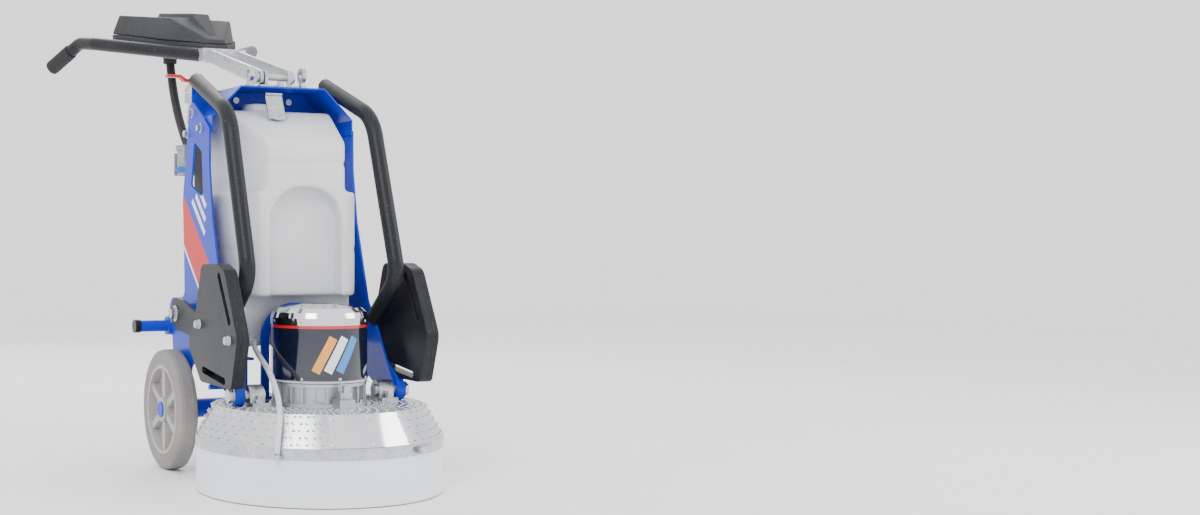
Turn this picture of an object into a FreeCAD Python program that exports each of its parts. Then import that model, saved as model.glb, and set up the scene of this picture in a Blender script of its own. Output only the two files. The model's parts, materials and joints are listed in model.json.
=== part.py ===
import FreeCAD, Part
import math
import os

# Walk-behind planetary floor grinder with three diamond tools.
# Millimetres, +Z up, +Y towards the operator, floor at z = 0.
# Shapes are drawn about the vertical axis of the grinding head and shifted
# along Y at the end, so that the origin lies under the middle of the machine.

V = FreeCAD.Vector
X_AXIS = V(1, 0, 0)
Y_AXIS = V(0, 1, 0)
Z_AXIS = V(0, 0, 1)

# Driving dimensions
HEAD_Y = -460.16         # head axis in the machine's own frame
RUNNING_FIT = 0.05       # radial clearance of shafts and pins

SKIRT_R = 285.0
SKIRT_THICKNESS = 4.0
SKIRT_TOP = 112.0
BAND_TOP = 129.0
COVER_TOP = 198.0
COVER_TOP_R = 243.0
SHEET = 5.0

MODULE = 4.0
SUN_TEETH = 54
PLANET_TEETH = 27
RING_TEETH = 108
PRESSURE_ANGLE = math.radians(20.0)
BACKLASH = 0.4
GEAR_Z = (95.0, 115.0)
TOOL_COUNT = 3
TOOL_CIRCLE_R = MODULE * (SUN_TEETH + PLANET_TEETH) / 2
CARRIER_R = 258.0
CARRIER_Z = (72.0, 80.0)
TOOL_R = 95.0
TOOL_Z = (30.0, 38.0)
SHOE_Z = (12.0, 30.0)
SPINDLE_R = 17.0
SHAFT_R = 20.0

MOTOR_BASE_R = 100.0
MOTOR_BASE_TOP = 250.0
COWL_R = 112.0
COWL_TOP = 382.0
DOME_TOP = 428.0
TRUNNION = (0.0, 222.0)        # y, z of the head's tilting axis
TRUNNION_R = 14.5

PLATE_X = (188.0, 193.0)       # inner and outer face of a side plate
BOSS_X = 215.0
AXLE = (410.0, 150.0)
AXLE_R = 12.5
WHEEL_R = 150.0
WHEEL_X = (200.0, 246.0)
RIM_R = 111.0
REAR_BAR = (500.0, 355.0)
REAR_BAR_R = 15.0
REAR_BAR_HALF = 286.0
WEIGHT_PIVOT = (341.0, 394.0)
WEIGHT_PIVOT_R = 12.0
WEIGHT_ARM_X = (221.0, 231.0)
WEIGHT_STACK_X = (231.0, 252.0)
GRIP_BAR_R = 19.0
TANK_Y = (67.0, 335.0)

TOP_Z = 950.0
REAR_PANEL_Y = (345.0, 349.0)
HINGE = (262.0, 978.0)         # y, z of the handle's hinge pin
HINGE_R = 8.0
HANDLE_TUBE_R = 18.5
HAND_GRIP_R = 21.0
CONSOLE_BACK_Y = 1026.0
KNOB_SHAFT_R = 5.5
VALVE = (-176.0, 376.0)
CABLE_R = 12.5
HOSE_R = 6.5

CABLE_ROUTE = [
    (-32, 960, 1100), (-30, 945, 1000), (-20, 848, 837), (0, 700, 690), (10, 560, 600), (10, 436, 600)]
HOSE_ROUTE = [
    (-105, 128, 334), (-132, 78, 329), (-144, 20, 312), (-146, -50, 280),
    (-158, -125, 237), (-176, -182, 200), (-192, -208, 161), (-201, -220.5, 118)]


def box(x, y, z):
    return Part.makeBox(x[1] - x[0], y[1] - y[0], z[1] - z[0], V(x[0], y[0], z[0]))


def rod(radius, start, end):
    """Solid cylinder between two points."""
    start, end = V(*start), V(*end)
    return Part.makeCylinder(radius, (end - start).Length, start, end - start)


def ring(outer, inner, start, end):
    return rod(outer, start, end).cut(rod(inner, start, end))


def disc(outer, z, inner=0.0, centre=(0.0, 0.0)):
    """Disc or ring about a vertical axis."""
    low, high = (*centre, z[0]), (*centre, z[1])
    if inner:
        return ring(outer, inner, low, high)
    return rod(outer, low, high)


def fuse(shapes):
    first, *others = shapes
    return first.multiFuse(others).removeSplitter()


def group(shapes):
    """Separate solids kept in one node."""
    return Part.makeCompound([solid for shape in shapes for solid in shape.Solids])


def mirrored(shape):
    return shape.mirror(V(0, 0, 0), X_AXIS)


def turned(shape, degrees, centre=V(0, 0, 0), axis=Z_AXIS):
    copy = shape.copy()
    copy.rotate(centre, axis, degrees)
    return copy


def path_edges(points, radii, closed=False):
    """Straight runs joined by tangent arcs, one radius per corner."""
    points = [V(*point) for point in points]
    count = len(points)
    corners = []
    for index, point in enumerate(points):
        radius = radii[index]
        if radius <= 0:
            corners.append((point, None, point))
            continue
        back = (points[index - 1] - point).normalize()
        ahead = (points[(index + 1) % count] - point).normalize()
        half = back.getAngle(ahead) / 2
        reach = radius / math.tan(half)
        middle = V(back + ahead).normalize()
        centre = point + middle * (radius / math.sin(half))
        corners.append((point + back * reach, centre - middle * radius, point + ahead * reach))
    edges = []
    for index, (enter, middle, leave) in enumerate(corners):
        if middle is not None:
            edges.append(Part.Arc(enter, middle, leave).toShape())
        following = corners[(index + 1) % count][0]
        last = index == count - 1
        if (closed or not last) and (following - leave).Length > 1e-6:
            edges.append(Part.LineSegment(leave, following).toShape())
    return edges


def side_prism(outline, x, radius=0.0):
    """Plate in the YZ plane with rounded corners, given as (y, z) or (y, z, radius)."""
    points = [(x[0], corner[0], corner[1]) for corner in outline]
    radii = [corner[2] if len(corner) == 3 else radius for corner in outline]
    face = Part.Face(Part.Wire(path_edges(points, radii, closed=True)))
    return face.extrude(V(x[1] - x[0], 0, 0))


def front_prism(outline, y, radius=0.0):
    """Plate in the XZ plane with rounded corners."""
    points = [(px, y[0], pz) for px, pz in outline]
    face = Part.Face(Part.Wire(path_edges(points, [radius] * len(points), closed=True)))
    return face.extrude(V(0, y[1] - y[0], 0))


def arch_plate(half, low, top, y):
    """Arch-shaped plate in the XZ plane."""
    points = [(-half, y[0], low), (-half, y[0], top), (half, y[0], top), (half, y[0], low)]
    face = Part.Face(Part.Wire(path_edges(points, [0, half * 0.9, half * 0.9, 0], closed=True)))
    return face.extrude(V(0, y[1] - y[0], 0))


def plan_prism(outline, z, radius=0.0):
    points = [(px, py, z[0]) for px, py in outline]
    face = Part.Face(Part.Wire(path_edges(points, [radius] * len(points), closed=True)))
    return face.extrude(V(0, 0, z[1] - z[0]))


def turned_profile(profile, degrees=360.0, start=0.0, axis=Z_AXIS):
    """Revolve an (r, height) outline about +Z, or about +X for a wheel."""
    if axis == Z_AXIS:
        points = [V(r, 0, height) for r, height in profile]
    else:
        points = [V(height, 0, r) for r, height in profile]
    face = Part.Face(Part.makePolygon(points + points[:1]))
    face.rotate(V(0, 0, 0), axis, start)
    return face.revolve(V(0, 0, 0), axis, degrees)


def pipe(points, radii, outer, inner=0.0):
    """Round tube along runs and arcs."""
    wire = Part.Wire(path_edges(points, radii))
    start, direction = V(*points[0]), V(*points[1]) - V(*points[0])

    def swept(radius):
        profile = Part.Wire(Part.makeCircle(radius, start, direction))
        return wire.makePipeShell([profile], True, False)

    return swept(outer).cut(swept(inner)) if inner else swept(outer)


def cord_radii(points):
    """The largest radius that each corner of a cord's route leaves room for."""
    radii = [0.0]
    for before, here, after in zip(points, points[1:], points[2:]):
        back, ahead = V(*here) - V(*before), V(*after) - V(*here)
        shorter = min(back.Length, ahead.Length)
        radii.append(0.45 * shorter / math.tan(back.getAngle(ahead) / 2))
    return radii + [0.0]


def cord(name, points, radius):
    radii = cord_radii(points)
    wire = Part.Wire(path_edges(points, radii))
    solid = pipe(points, radii, radius)
    ideal = math.pi * radius ** 2 * wire.Length
    smallest = min(radii[1:-1])
    print(f"{name}: length {wire.Length:.0f}, smallest radius {smallest:.0f}")
    print(f"    volume over section times length {solid.Volume / ideal:.4f}")
    return solid


def hex_head(across, height, foot, direction):
    """Hexagon bolt head or nut standing on a point."""
    corners = []
    for step in range(7):
        angle = math.radians(60 * step)
        corners.append(V(math.cos(angle), math.sin(angle), 0) * (across / math.sqrt(3)))
    head = Part.Face(Part.makePolygon(corners)).extrude(V(0, 0, height))
    head.Placement = FreeCAD.Placement(V(*foot), FreeCAD.Rotation(Z_AXIS, V(*direction)))
    return head


def gear_face(teeth, extra, tip, root, tooth_at=0.0):
    """Outline of flat-faced involute teeth; extra widens each tooth at the pitch circle."""
    pitch = MODULE * teeth / 2
    base = pitch * math.cos(PRESSURE_ANGLE)

    def involute(radius):
        angle = math.acos(min(1.0, base / radius))
        return math.tan(angle) - angle

    def half_angle(radius):
        flank = involute(pitch) - involute(max(radius, base))
        return math.pi / (2 * teeth) + flank + extra / (2 * pitch)

    levels = [root + (tip - root) * step / 4 for step in range(5)]
    points = []
    for tooth in range(teeth):
        middle = tooth_at + 2 * math.pi * tooth / teeth
        for radius in levels:
            angle = middle - half_angle(radius)
            points.append(V(radius * math.cos(angle), radius * math.sin(angle), 0))
        for radius in reversed(levels):
            angle = middle + half_angle(radius)
            points.append(V(radius * math.cos(angle), radius * math.sin(angle), 0))
    return Part.Face(Part.makePolygon(points + points[:1]))


def gear(teeth, tooth_at=0.0):
    pitch = MODULE * teeth / 2
    face = gear_face(teeth, -BACKLASH / 2, pitch + MODULE, pitch - 1.25 * MODULE, tooth_at)
    face.translate(V(0, 0, GEAR_Z[0]))
    return face.extrude(V(0, 0, GEAR_Z[1] - GEAR_Z[0]))


# Grinding head

def skirt():
    inner = SKIRT_R - SKIRT_THICKNESS
    return turned_profile([
        (inner, 4), (inner + 1.5, 2), (SKIRT_R - 1.5, 2), (SKIRT_R, 4),
        (SKIRT_R, SKIRT_TOP), (inner, SKIRT_TOP)])


def cover_band():
    """Steel strap over the joint of skirt and cover, with two tension locks and the water nozzle."""
    strap = disc(SKIRT_R + 1.5, (SKIRT_TOP - 8, BAND_TOP), SKIRT_R)
    parts = [strap]
    for angle in (-62, 118):
        lock = box((SKIRT_R + 0.5, SKIRT_R + 11), (-17, 17), (SKIRT_TOP - 4, BAND_TOP - 4))
        lever = box((SKIRT_R + 10, SKIRT_R + 13), (-26, 12), (SKIRT_TOP - 1, BAND_TOP - 7))
        parts.append(turned(fuse([lock, lever]), angle))
    nozzle_x, nozzle_y, nozzle_z = HOSE_ROUTE[-1]
    angle = math.degrees(math.atan2(nozzle_y, nozzle_x))
    parts.append(turned(box((SKIRT_R + 0.5, SKIRT_R + 10), (-9, 9), (SKIRT_TOP - 6, SKIRT_TOP + 2)), angle))
    parts.append(rod(HOSE_R, (nozzle_x, nozzle_y, SKIRT_TOP - 6), (nozzle_x, nozzle_y, nozzle_z)))
    return fuse(parts)


def head_cover():
    """Cone of tread plate with a flat top, open under the front panel."""
    inner = SKIRT_R - SKIRT_THICKNESS
    shell = turned_profile([
        (inner - SHEET, 95), (inner, 95), (inner, SKIRT_TOP), (SKIRT_R, SKIRT_TOP), (SKIRT_R, BAND_TOP),
        (SKIRT_R - 2, BAND_TOP), (COVER_TOP_R, COVER_TOP), (45, COVER_TOP), (45, COVER_TOP - SHEET),
        (COVER_TOP_R - 3, COVER_TOP - SHEET), (inner - SHEET, BAND_TOP - 3)])
    window = turned_profile([(300, 138), (300, 188), (200, 188), (200, 138)], 36, -107)
    port = rod(21, (-60, 200, 160), (-60, 290, 172))
    return shell.cut(window).cut(port)


def front_panel():
    """Plain removable panel in front, held by six screws."""
    low_r, high_r = SKIRT_R - 2, COVER_TOP_R
    gap, thickness = 0.1, 2.0
    low_z, high_z = BAND_TOP + 1, COVER_TOP - 1

    def radius(z, offset):
        return low_r + (high_r - low_r) * (z - BAND_TOP) / (COVER_TOP - BAND_TOP) + offset * 1.16

    sheet = turned_profile([
        (radius(low_z, gap), low_z), (radius(low_z, gap + thickness), low_z),
        (radius(high_z, gap + thickness), high_z), (radius(high_z, gap), high_z)], 42, -110)
    slope = math.degrees(math.atan2(low_r - high_r, COVER_TOP - BAND_TOP))
    screws = []
    for angle in (-108, -89, -70):
        for height in (137, 190):
            screw = Part.makeCylinder(5, 4, V(0, 0, 0), X_AXIS)
            screw.rotate(V(0, 0, 0), Y_AXIS, -slope)
            screw.translate(V(radius(height, gap + 1), 0, height))
            screws.append(turned(screw, angle))
    return fuse([sheet] + screws)


def gear_case():
    """Fixed ring gear on a deep flange under the cover."""
    pitch = MODULE * RING_TEETH / 2
    blank = disc(236, GEAR_Z)
    space = gear_face(RING_TEETH, BACKLASH / 2, pitch + 1.25 * MODULE, pitch - MODULE)
    space.translate(V(0, 0, GEAR_Z[0] - 1))
    toothed = blank.cut(space.extrude(V(0, 0, GEAR_Z[1] - GEAR_Z[0] + 2)))
    wall = disc(236, (GEAR_Z[1] - 1, COVER_TOP - SHEET), 228)
    return fuse([toothed, wall])


def motor_housing():
    """Cast base with cooling ribs, the stator, and the clamp block in front."""
    parts = [
        disc(MOTOR_BASE_R, (COVER_TOP, COVER_TOP + 8), SHAFT_R + 2),
        disc(MOTOR_BASE_R, (COVER_TOP, MOTOR_BASE_TOP + 2), 86),
        disc(MOTOR_BASE_R + 12, (COVER_TOP, COVER_TOP + 7), 86),
        disc(MOTOR_BASE_R + 10, (MOTOR_BASE_TOP - 7, MOTOR_BASE_TOP), 86),
        disc(104, (MOTOR_BASE_TOP, COWL_TOP - 24), 74),
    ]
    for step in range(24):
        rib = box((MOTOR_BASE_R - 4, MOTOR_BASE_R + 9), (-2, 2), (COVER_TOP + 5, MOTOR_BASE_TOP - 4))
        parts.append(turned(rib, 15 * step))
    for step in range(6):
        bolt = hex_head(10, 6, (MOTOR_BASE_R + 6, 0, COVER_TOP + 7), (0, 0, 1))
        parts.append(turned(bolt, 60 * step + 7.5))
    block = box((-19, 19), (-152, -108), (COVER_TOP, COVER_TOP + 20))
    cam = rod(13, (-14, -133, COVER_TOP + 26), (14, -133, COVER_TOP + 26))
    lever = box((-7, 7), (-150, -138), (COVER_TOP + 24, COVER_TOP + 52))
    return fuse(parts + [block, cam, lever])


def motor_cowl():
    wall = disc(COWL_R, (MOTOR_BASE_TOP + 0.2, COWL_TOP), COWL_R - 3)
    rim = disc(COWL_R, (MOTOR_BASE_TOP + 0.2, MOTOR_BASE_TOP + 5), 104.2)
    bead = disc(COWL_R + 2, (MOTOR_BASE_TOP + 8, MOTOR_BASE_TOP + 14), COWL_R - 3)
    box_base = box((-44, 44), (COWL_R - 6, COWL_R + 5), (290, 350)).cut(disc(COWL_R - 3, (280, 360)))
    return fuse([wall, rim, bead, box_base])


def fan_cover():
    """Domed cap with rings of air slots and a lifting stud."""
    outer = [
        (COWL_R + 1, COWL_TOP), (COWL_R + 1, COWL_TOP + 16), (COWL_R - 3, COWL_TOP + 28),
        (COWL_R - 14, COWL_TOP + 38)]
    crown = [(40, DOME_TOP), (0, DOME_TOP)]
    inner = [(0, DOME_TOP - 3), (39, DOME_TOP - 3), (COWL_R - 16, COWL_TOP + 35)]
    edge = [(COWL_R - 6, COWL_TOP + 26), (COWL_R - 2, COWL_TOP + 15), (COWL_R - 2, COWL_TOP)]
    shell = turned_profile(outer + crown + inner + edge)
    slots = []
    for row_r, count in ((34, 8), (56, 14), (78, 20)):
        slot = box((row_r - 7, row_r + 7), (-2.5, 2.5), (COWL_TOP + 5, DOME_TOP + 5))
        slots += [turned(slot, 360 / count * step) for step in range(count)]
    return shell.cut(Part.makeCompound(slots))


def motor_guard():
    """Arched bumper plate behind the motor, with its foot and a side bracket."""
    arch = arch_plate(92, COVER_TOP, 425, (125, 133)).cut(arch_plate(72, COVER_TOP, 402, (124, 134)))
    foot = box((-92, 92), (118, 150), (COVER_TOP, COVER_TOP + 6))
    bracket = fuse([
        box((-150, -144), (84, 122), (COVER_TOP, 300)),
        box((-150, -128), (84, 122), (COVER_TOP, COVER_TOP + 6)),
        box((-150, -128), (84, 122), (294, 300))])
    return fuse([arch, foot, bracket])


def trunnion():
    """Pillow block on a rubber-lined foot, with the tilting pin and its nut."""
    y, z = TRUNNION
    foot = box((142, 184), (y - 44, y + 44), (COVER_TOP, COVER_TOP + 9))
    body = fuse([box((146, 182), (y - 24, y + 24), (COVER_TOP, z)), rod(24, (146, y, z), (182, y, z))])
    pin = rod(TRUNNION_R, (140, y, z), (BOSS_X + 3, y, z))
    washer = rod(20, (BOSS_X + 1, y, z), (BOSS_X + 4, y, z))
    parts = [foot, body, pin, washer, hex_head(30, 10, (BOSS_X + 3, y, z), (1, 0, 0))]
    for offset in (-35, 35):
        parts.append(hex_head(15, 8, (163, y + offset, COVER_TOP + 9), (0, 0, 1)))
        parts.append(rod(4, (163, y + offset, COVER_TOP + 9), (163, y + offset, COVER_TOP + 24)))
    return fuse(parts)


def vacuum_port():
    """Rigid elbow at the back of the head, for a 50 mm vacuum cuff."""
    points = [(-60, 247, 166), (-62, 290, 172), (-92, 352, 228)]
    elbow = pipe(points, [0, 40, 0], 25, 22)
    collar = rod(34, (-60, 258, 167.5), (-60.4, 268, 169)).cut(rod(22, (-60, 247, 166), (-61, 275, 170)))
    inside_cover = turned_profile([(0, 90), (280, 90), (280.9, 132), (240, 198), (0, 198)])
    return fuse([elbow, collar]).cut(inside_cover)


# Turning parts of the head

def motor_rotor():
    """Shaft with sun gear, rotor core and cooling fan."""
    parts = [
        disc(SHAFT_R, (GEAR_Z[0] - 12, 400)),
        gear(SUN_TEETH),
        disc(30, (GEAR_Z[1], GEAR_Z[1] + 20)),
        disc(73.4, (MOTOR_BASE_TOP + 6, COWL_TOP - 28)),
        disc(34, (COWL_TOP - 12, COWL_TOP + 4)),
        disc(88, (COWL_TOP - 12, COWL_TOP - 9)),
    ]
    blade = box((30, 86), (-1.5, 1.5), (COWL_TOP - 10, COWL_TOP + 12))
    parts += [turned(blade, 45 * step) for step in range(8)]
    return fuse(parts)


def tool_centre(number):
    angle = 2 * math.pi * number / TOOL_COUNT
    return TOOL_CIRCLE_R * math.cos(angle), TOOL_CIRCLE_R * math.sin(angle)


def carrier_plate():
    """Galvanised disc with a bearing sleeve for the shaft and for each tool spindle."""
    sleeve_top = GEAR_Z[0] - 3
    parts = [disc(CARRIER_R, CARRIER_Z), disc(42, (CARRIER_Z[1], sleeve_top))]
    for number in range(TOOL_COUNT):
        parts.append(disc(36, (CARRIER_Z[1], sleeve_top), centre=tool_centre(number)))
        for step in range(6):
            bolt = hex_head(13, 7, (54, 0, CARRIER_Z[0]), (0, 0, -1))
            bolt = turned(bolt, 60 * step + 30)
            bolt.translate(V(*tool_centre(number), 0))
            parts.append(bolt)
    for step in range(12):
        bolt = fuse([
            hex_head(16, 9, (244, 0, CARRIER_Z[0]), (0, 0, -1)),
            rod(11, (244, 0, CARRIER_Z[0] - 2), (244, 0, CARRIER_Z[0]))])
        parts.append(turned(bolt, 30 * step + 15))
    parts.append(disc(60, (CARRIER_Z[0] - 6, CARRIER_Z[0])))
    bores = [disc(SHAFT_R + RUNNING_FIT, (50, sleeve_top + 1))]
    for number in range(TOOL_COUNT):
        bores.append(disc(SPINDLE_R + RUNNING_FIT, (50, sleeve_top + 1), centre=tool_centre(number)))
    return fuse(parts).cut(Part.makeCompound(bores))


def spindle():
    """Planet gear, shaft, rubber coupling and driving flange of one tool, drawn on its own axis."""
    parts = [
        gear(PLANET_TEETH),
        disc(SPINDLE_R, (TOOL_Z[1], GEAR_Z[1] + 6)),
        disc(44, (TOOL_Z[1], TOOL_Z[1] + 7)),
        disc(40, (TOOL_Z[1] + 7, CARRIER_Z[0] - 8)),
        disc(21, (TOOL_Z[0] + 2, TOOL_Z[1])),
    ]
    parts.append(hex_head(19, 8, (0, 0, TOOL_Z[0] + 2), (0, 0, -1)))
    return fuse(parts)


def tool_plate():
    """Round plate with three curved slots and a ring of countersunk screws."""
    plate = disc(TOOL_R, TOOL_Z, 22)
    rim = disc(TOOL_R, (TOOL_Z[0] - 3, TOOL_Z[0]), TOOL_R - 5)
    cuts = []
    for step in range(3):
        slot = turned_profile([(50, 20), (62, 20), (62, 50), (50, 50)], 38, 120 * step + 41)
        cuts.append(slot)
    for step in range(6):
        cuts.append(turned(disc(3, (20, 50), centre=(34, 0)), 60 * step))
    return fuse([plate, rim]).cut(Part.makeCompound(cuts))


def tool_shoes():
    """Three shoes of one tool, each with two diamond segments underneath."""
    shoes = []
    for step in range(3):
        outline = [(30, 0), (86, -32), (86, 32)]
        shoe = plan_prism(outline, (SHOE_Z[0], TOOL_Z[0]), 9)
        section = [(70, 0), (84, 0), (84, SHOE_Z[0] + 2), (70, SHOE_Z[0] + 2)]
        segments = [turned_profile(section, 14, start) for start in (3, -17)]
        screw = rod(5, (54, 0, SHOE_Z[0] - 3), (54, 0, SHOE_Z[0] + 1))
        shoes.append(turned(fuse([shoe, *segments, screw]), 120 * step))
    return group(shoes)


# Frame

def side_plate():
    """Right-hand plate with the trunnion boss, bar boss, axle lug and window."""
    x = PLATE_X
    outline = [
        (211, 846, 10), (345, 932, 26), (398, 677, 30), (390, 560, 60), (385, 432, 22), (486, 428, 26),
        (526, 352, 24), (478, 333, 16), (452, 128, 30), (368, 128, 30), (338, 262, 20), (300, 282, 8),
        (163, 250, 40), (120, 244, 20), (29, 204, 10), (-22, 212, 16), (4, 257, 20), (82, 371, 20),
        (124, 425, 30), (189, 624, 60), (210, 750, 60)]
    plate = side_prism(outline, x)
    window = side_prism([(262, 791), (252, 677), (338, 710), (315, 819)], (x[0] - 1, x[1] + 1), 10)
    y, z = TRUNNION
    arm_outline = [
        (-18, 204, 12), (-18, 246, 12), (60, 300, 30), (205, 292, 12),
        (200, 262, 10), (40, 230, 30), (20, 204, 10)]
    arm = side_prism(arm_outline, (x[1], x[1] + 8))
    boss = rod(24, (x[1], y, z), (BOSS_X, y, z))
    pivot = rod(24, (x[1], *WEIGHT_PIVOT), (WEIGHT_ARM_X[0] - 0.5, *WEIGHT_PIVOT))
    bar_boss = ring(24, REAR_BAR_R, (x[0] - 8, *REAR_BAR), (x[1] + 8, *REAR_BAR))
    stop = rod(6, (x[1] - 3, 60, 237.6), (WEIGHT_STACK_X[1] - 2, 60, 237.6))
    solid = fuse([plate.cut(window), arm, boss, pivot, bar_boss, stop])
    holes = [
        rod(TRUNNION_R + RUNNING_FIT, (x[0] - 1, y, z), (BOSS_X + 1, y, z)),
        rod(REAR_BAR_R, (x[0] - 9, *REAR_BAR), (x[1] + 9, *REAR_BAR)),
        rod(AXLE_R, (x[0] - 1, *AXLE), (x[1] + 1, *AXLE))]
    return solid.cut(Part.makeCompound(holes))


def top_cover():
    """Bent hood between the side plates, with the back panel and its two ears."""
    edge, thick = PLATE_X[0] - 0.5, 4
    low, shoulder, flat = 838, 874, 112
    outer = [(-edge, low), (-edge, shoulder), (-flat, TOP_Z), (flat, TOP_Z), (edge, shoulder), (edge, low)]
    inner = [
        (edge - thick, low), (edge - thick, shoulder - 2), (flat - 1.5, TOP_Z - thick),
        (1.5 - flat, TOP_Z - thick), (thick - edge, shoulder - 2), (thick - edge, low)]
    hood = front_prism(outer + inner, (206, REAR_PANEL_Y[0]))
    ear = 968
    panel = front_prism([
        (-edge, low), (-edge, ear), (-166, ear), (-146, TOP_Z), (146, TOP_Z), (166, ear),
        (edge, ear), (edge, low)], REAR_PANEL_Y)
    tips = [rod(13, (x, REAR_PANEL_Y[0], ear), (x, REAR_PANEL_Y[1], ear)) for x in (-174.5, 174.5)]
    return fuse([hood, panel] + tips)


def axle_tube():
    """Tube between the side plates with a stub shaft for each wheel."""
    tube = rod(24, (-PLATE_X[0], *AXLE), (PLATE_X[0], *AXLE))
    shaft = rod(AXLE_R, (-WHEEL_X[1] + 6, *AXLE), (WHEEL_X[1] - 6, *AXLE))
    collars = [rod(20, (side * PLATE_X[1], *AXLE), (side * (WHEEL_X[0] - 0.5), *AXLE)) for side in (-1, 1)]
    return fuse([tube, shaft] + collars)


def rear_bar():
    y, z = REAR_BAR
    bar = rod(REAR_BAR_R, (-REAR_BAR_HALF, y, z), (REAR_BAR_HALF, y, z))
    caps = []
    for side in (-1, 1):
        near, far = side * (REAR_BAR_HALF - 12), side * (REAR_BAR_HALF + 3)
        caps.append(rod(REAR_BAR_R + 2, (near, y, z), (far, y, z)))
    return fuse([bar] + caps)


def tank_plan(front_half, back_half, margin=0.0):
    """Tank outline seen from above, grown by a margin."""
    front_y, back_y = TANK_Y[0] - margin, TANK_Y[1] + margin
    front_half, back_half = front_half + margin, back_half + margin
    return [(-front_half, front_y), (front_half, front_y), (back_half, back_y), (-back_half, back_y)]


def water_tank():
    """Moulded tank, narrower above its shoulder, with an arch for the motor, a filler and an outlet."""
    front_y, back_y = TANK_Y
    shoulder = 690
    upper = plan_prism(tank_plan(102, 163), (shoulder - 30, 900), 18)
    lower = plan_prism(tank_plan(130, 171), (320, shoulder), 22)
    side = side_prism([
        (front_y, 320, 0), (front_y, 806, 30), (243, 893, 60),
        (back_y, 893, 20), (back_y, 320, 16)], (-200, 200))
    tank = fuse([upper, lower]).common(side)
    recess = arch_plate(92, 250, 700, (front_y - 10, front_y + 46))
    tank = tank.cut(recess).cut(disc(182, (250, 442)))
    for z, front_half, back_half in ((752, 102, 163), (548, 130, 171)):
        around = plan_prism(tank_plan(front_half, back_half, 8), (z, z + 9), 20)
        core = plan_prism(tank_plan(front_half, back_half, -4), (z - 1, z + 10), 18)
        tank = tank.cut(around.cut(core))
    pocket = side_prism([(262, 838), (262, 900), (336, 900), (336, 838)], (92, 148))
    filler = rod(34, (-40, 285, 880), (-40, 285, 912))
    x, y, z = HOSE_ROUTE[0]
    outlet = rod(HOSE_R - 1.5, (x, y + 3, z), (x, y + 40, z))
    return fuse([tank.cut(pocket), filler, outlet])


def tank_latch():
    """Sprung strap that holds the tank back against the hood."""
    plate = side_prism([(178, 869), (182, 869), (209, 932), (205, 932)], (-50, -6))
    hook = box((-50, -6), (200, 213), (929, 933))
    tail = box((-36, -20), (170, 182), (866, 871))
    return fuse([plate, hook, tail])


def grip_bar():
    points = [(176, REAR_PANEL_Y[0], 972), (187, 96, 873), (188.5, -33, 490), (188.5, 92, 385)]
    return pipe(points, [0, 110, 62, 0], GRIP_BAR_R, GRIP_BAR_R - 4)


def electric_box():
    """Control cabinet behind the tank, with its door and two hinges."""
    parts = [box((-150, 150), (352, 432), (505, 820)), box((-140, 140), (432, 436), (515, 810))]
    for z in (560, 740):
        parts.append(rod(5, (143, 437, z), (143, 437, z + 34)))
    parts.append(rod(9, (-120, 434, 662), (-120, 443, 662)))
    x, y, z = CABLE_ROUTE[-1]
    parts.append(ring(19, CABLE_R, (x, 435, z), (x, y + 24, z)))
    return fuse(parts)


def power_inlet():
    """Five-pin appliance inlet that points down behind the cabinet, with a hinged lid."""
    x, y = -150, 472
    shell = disc(30, (742, 806), centre=(x, y)).cut(disc(26, (741, 790), centre=(x, y)))
    collar = disc(36, (750, 762), 30, centre=(x, y))
    head = fuse([disc(34, (806, 818), centre=(x, y)), box((x - 25, x + 25), (436, 470), (786, 818))])
    core = disc(23, (752, 792), centre=(x, y))
    pins = []
    for step in range(5):
        angle = math.radians(72 * step)
        pins.append(disc(3.2, (744, 753), centre=(x + 13 * math.cos(angle), y + 13 * math.sin(angle))))
    lid = box((x - 26, x + 26), (y + 36, y + 41), (742, 800))
    hinge = box((x - 12, x + 12), (y + 28, y + 41), (794, 806))
    return fuse([shell, collar, head, core, *pins, lid, hinge])


def lifting_eyes():
    eyes = []
    for side in (-1, 1):
        x = side * 70
        eye = ring(19, 10, (x - 5, 253, 984), (x + 5, 253, 984))
        stem = rod(7, (x, 253, TOP_Z), (x, 253, 968))
        eyes.append(fuse([eye, stem, hex_head(22, 9, (x, 253, TOP_Z), (0, 0, 1))]))
    return group(eyes)


def frame_brackets():
    """Hinge ears with their pin, the bumper knob, and the arm that carries the water valve."""
    y, z = HINGE
    ears = []
    for side in (-1, 1):
        near, far = sorted((side * 27, side * 34))
        outline = [(y - 22, TOP_Z + 4), (y - 22, z + 14), (y + 22, z + 14), (y + 22, TOP_Z + 4)]
        ears.append(side_prism(outline, (near, far), 9))
    base = box((-52, 52), (y - 34, y + 34), (TOP_Z, TOP_Z + 6))
    pin = rod(HINGE_R, (-50, y, z), (50, y, z))
    heads = [rod(13, (side * 45, y, z), (side * 51, y, z)) for side in (-1, 1)]
    knob = rod(11, (0, 216, TOP_Z), (0, 216, TOP_Z + 12))
    hinge = fuse(ears + [base, pin, *heads])
    x, valve_y = VALVE
    arm = box((x - 10, x + 10), (REAR_PANEL_Y[1], valve_y - 11), (928, 933))
    foot = box((x - 10, x + 10), (REAR_PANEL_Y[1], REAR_PANEL_Y[1] + 5), (900, 933))
    clamp = ring(20, 11, (x, valve_y, 920), (x, valve_y, 938))
    return group([hinge, knob, fuse([arm, foot, clamp])])


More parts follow.
